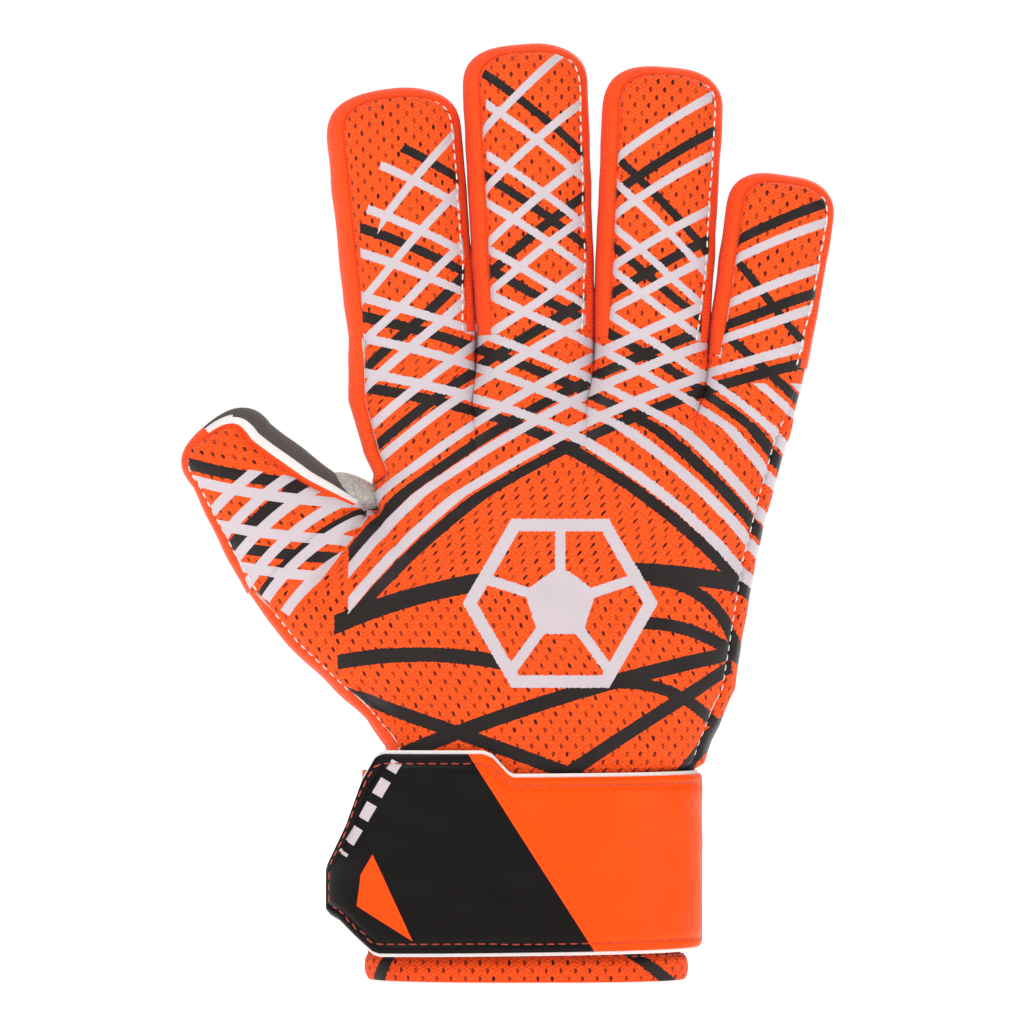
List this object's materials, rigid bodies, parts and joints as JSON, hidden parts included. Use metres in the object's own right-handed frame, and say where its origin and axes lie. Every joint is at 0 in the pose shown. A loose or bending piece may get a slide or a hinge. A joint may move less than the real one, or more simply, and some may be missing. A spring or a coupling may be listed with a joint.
{
  "type": "goalkeeper glove",
  "caption": "Padded right-hand sports glove with flat palm, five digits that bend, printed mesh back and a hook-and-loop wrist strap.",
  "frame": {"origin": "centre of the wrist opening, at the cuff's hem", "axes": "+Z from the wrist to the fingertips, -Y out of the back of the hand, +Y out of the palm, -X towards the thumb"},
  "size_m": [0.1852, 0.053, 0.2698],
  "materials": {
    "printed_mesh": "woven",
    "gusset_mesh": "woven",
    "latex_palm": "matte",
    "lining_knit": "woven",
    "cuff_knit": "woven",
    "elastic": "ribbed",
    "coated_strap": "satin",
    "coated_strap_dark": "satin",
    "white_foam": "matte",
    "loop_pile": "pile",
    "hook_tape": "matte",
    "label_tape": "woven"
  },
  "bodies": {
    "hand": {"hand_back": "printed_mesh", "hand_palm": "latex_palm", "hand_side_outer": "gusset_mesh", "hand_side_inner": "gusset_mesh", "hand_lining": "lining_knit", "cuff_back": "printed_mesh", "cuff_palm": "cuff_knit", "cuff_slit_insert": "elastic", "cuff_binding": "cuff_knit", "wrist_elastic": "elastic", "loop_patch": "loop_pile", "size_label": "label_tape", "strap_anchor": "coated_strap"},
    "strap": {"strap_cover": "coated_strap", "strap_foam": "white_foam"},
    "strap_tip": {"strap_tip_cover": "coated_strap_dark", "strap_tip_foam": "white_foam", "hook_patch": "hook_tape"},
    "index_lower": {"index_back_lower": "printed_mesh", "index_palm_lower": "latex_palm", "index_sides_lower": "gusset_mesh", "index_lining_lower": "lining_knit"},
    "index_upper": {"index_back_upper": "printed_mesh", "index_palm_upper": "latex_palm", "index_sides_upper": "gusset_mesh", "index_lining_upper": "lining_knit"},
    "middle_lower": {"middle_back_lower": "printed_mesh", "middle_palm_lower": "latex_palm", "middle_sides_lower": "gusset_mesh", "middle_lining_lower": "lining_knit"},
    "middle_upper": {"middle_back_upper": "printed_mesh", "middle_palm_upper": "latex_palm", "middle_sides_upper": "gusset_mesh", "middle_lining_upper": "lining_knit"},
    "ring_lower": {"ring_back_lower": "printed_mesh", "ring_palm_lower": "latex_palm", "ring_sides_lower": "gusset_mesh", "ring_lining_lower": "lining_knit"},
    "ring_upper": {"ring_back_upper": "printed_mesh", "ring_palm_upper": "latex_palm", "ring_sides_upper": "gusset_mesh", "ring_lining_upper": "lining_knit"},
    "little_lower": {"little_back_lower": "printed_mesh", "little_palm_lower": "latex_palm", "little_sides_lower": "gusset_mesh", "little_lining_lower": "lining_knit"},
    "little_upper": {"little_back_upper": "printed_mesh", "little_palm_upper": "latex_palm", "little_sides_upper": "gusset_mesh", "little_lining_upper": "lining_knit"},
    "thumb_lower": {"thumb_back_lower": "printed_mesh", "thumb_palm_lower": "latex_palm", "thumb_sides_lower": "gusset_mesh", "thumb_lining_lower": "lining_knit"},
    "thumb_upper": {"thumb_back_upper": "printed_mesh", "thumb_palm_upper": "latex_palm", "thumb_sides_upper": "gusset_mesh", "thumb_lining_upper": "lining_knit"}
  },
  "joints": [
    {"name": "strap_open", "type": "hinge", "parent": "hand", "child": "strap", "pos_m": [0.0536, 0, 0.034], "axis": [0, 0, 1], "range_deg": [0, 150]},
    {"name": "strap_peel", "type": "hinge", "parent": "strap", "child": "strap_tip", "pos_m": [0.0016, -0.0289, 0.034], "axis": [0, 0, 1], "range_deg": [0, 100]},
    {"name": "index_knuckle", "type": "hinge", "parent": "hand", "child": "index_lower", "pos_m": [-0.03129, 0.004, 0.19745], "axis": [-0.9959, 0, -0.0906], "range_deg": [0, 80], "stiffness_Nm_per_rad": 0.12},
    {"name": "index_middle_joint", "type": "hinge", "parent": "index_lower", "child": "index_upper", "pos_m": [-0.03383, 0.004, 0.22534], "axis": [-0.9959, 0, -0.0906], "range_deg": [0, 90], "stiffness_Nm_per_rad": 0.08},
    {"name": "middle_knuckle", "type": "hinge", "parent": "hand", "child": "middle_lower", "pos_m": [0.0049, 0.004, 0.19849], "axis": [-0.9991, 0, -0.0419], "range_deg": [0, 80], "stiffness_Nm_per_rad": 0.12},
    {"name": "middle_middle_joint", "type": "hinge", "parent": "middle_lower", "child": "middle_upper", "pos_m": [0.00356, 0.004, 0.23046], "axis": [-0.9991, 0, -0.0419], "range_deg": [0, 90], "stiffness_Nm_per_rad": 0.08},
    {"name": "ring_knuckle", "type": "hinge", "parent": "hand", "child": "ring_lower", "pos_m": [0.03941, 0.004, 0.19648], "axis": [-0.9987, 0, 0.0506], "range_deg": [0, 80], "stiffness_Nm_per_rad": 0.12},
    {"name": "ring_middle_joint", "type": "hinge", "parent": "ring_lower", "child": "ring_upper", "pos_m": [0.04092, 0.004, 0.22645], "axis": [-0.9987, 0, 0.0506], "range_deg": [0, 90], "stiffness_Nm_per_rad": 0.08},
    {"name": "little_knuckle", "type": "hinge", "parent": "hand", "child": "little_lower", "pos_m": [0.0712, 0.004, 0.18937], "axis": [-0.988, 0, 0.1547], "range_deg": [0, 80], "stiffness_Nm_per_rad": 0.12},
    {"name": "little_middle_joint", "type": "hinge", "parent": "little_lower", "child": "little_upper", "pos_m": [0.07461, 0.004, 0.2111], "axis": [-0.988, 0, 0.1547], "range_deg": [0, 90], "stiffness_Nm_per_rad": 0.08},
    {"name": "thumb_base", "type": "hinge", "parent": "hand", "child": "thumb_lower", "pos_m": [-0.06558, 0.004, 0.13306], "axis": [-0.7848, 0, -0.6198], "range_deg": [0, 50], "stiffness_Nm_per_rad": 0.12},
    {"name": "thumb_tip_joint", "type": "hinge", "parent": "thumb_lower", "child": "thumb_upper", "pos_m": [-0.07549, 0.004, 0.14562], "axis": [-0.7848, 0, -0.6198], "range_deg": [0, 60], "stiffness_Nm_per_rad": 0.08}
  ]
}
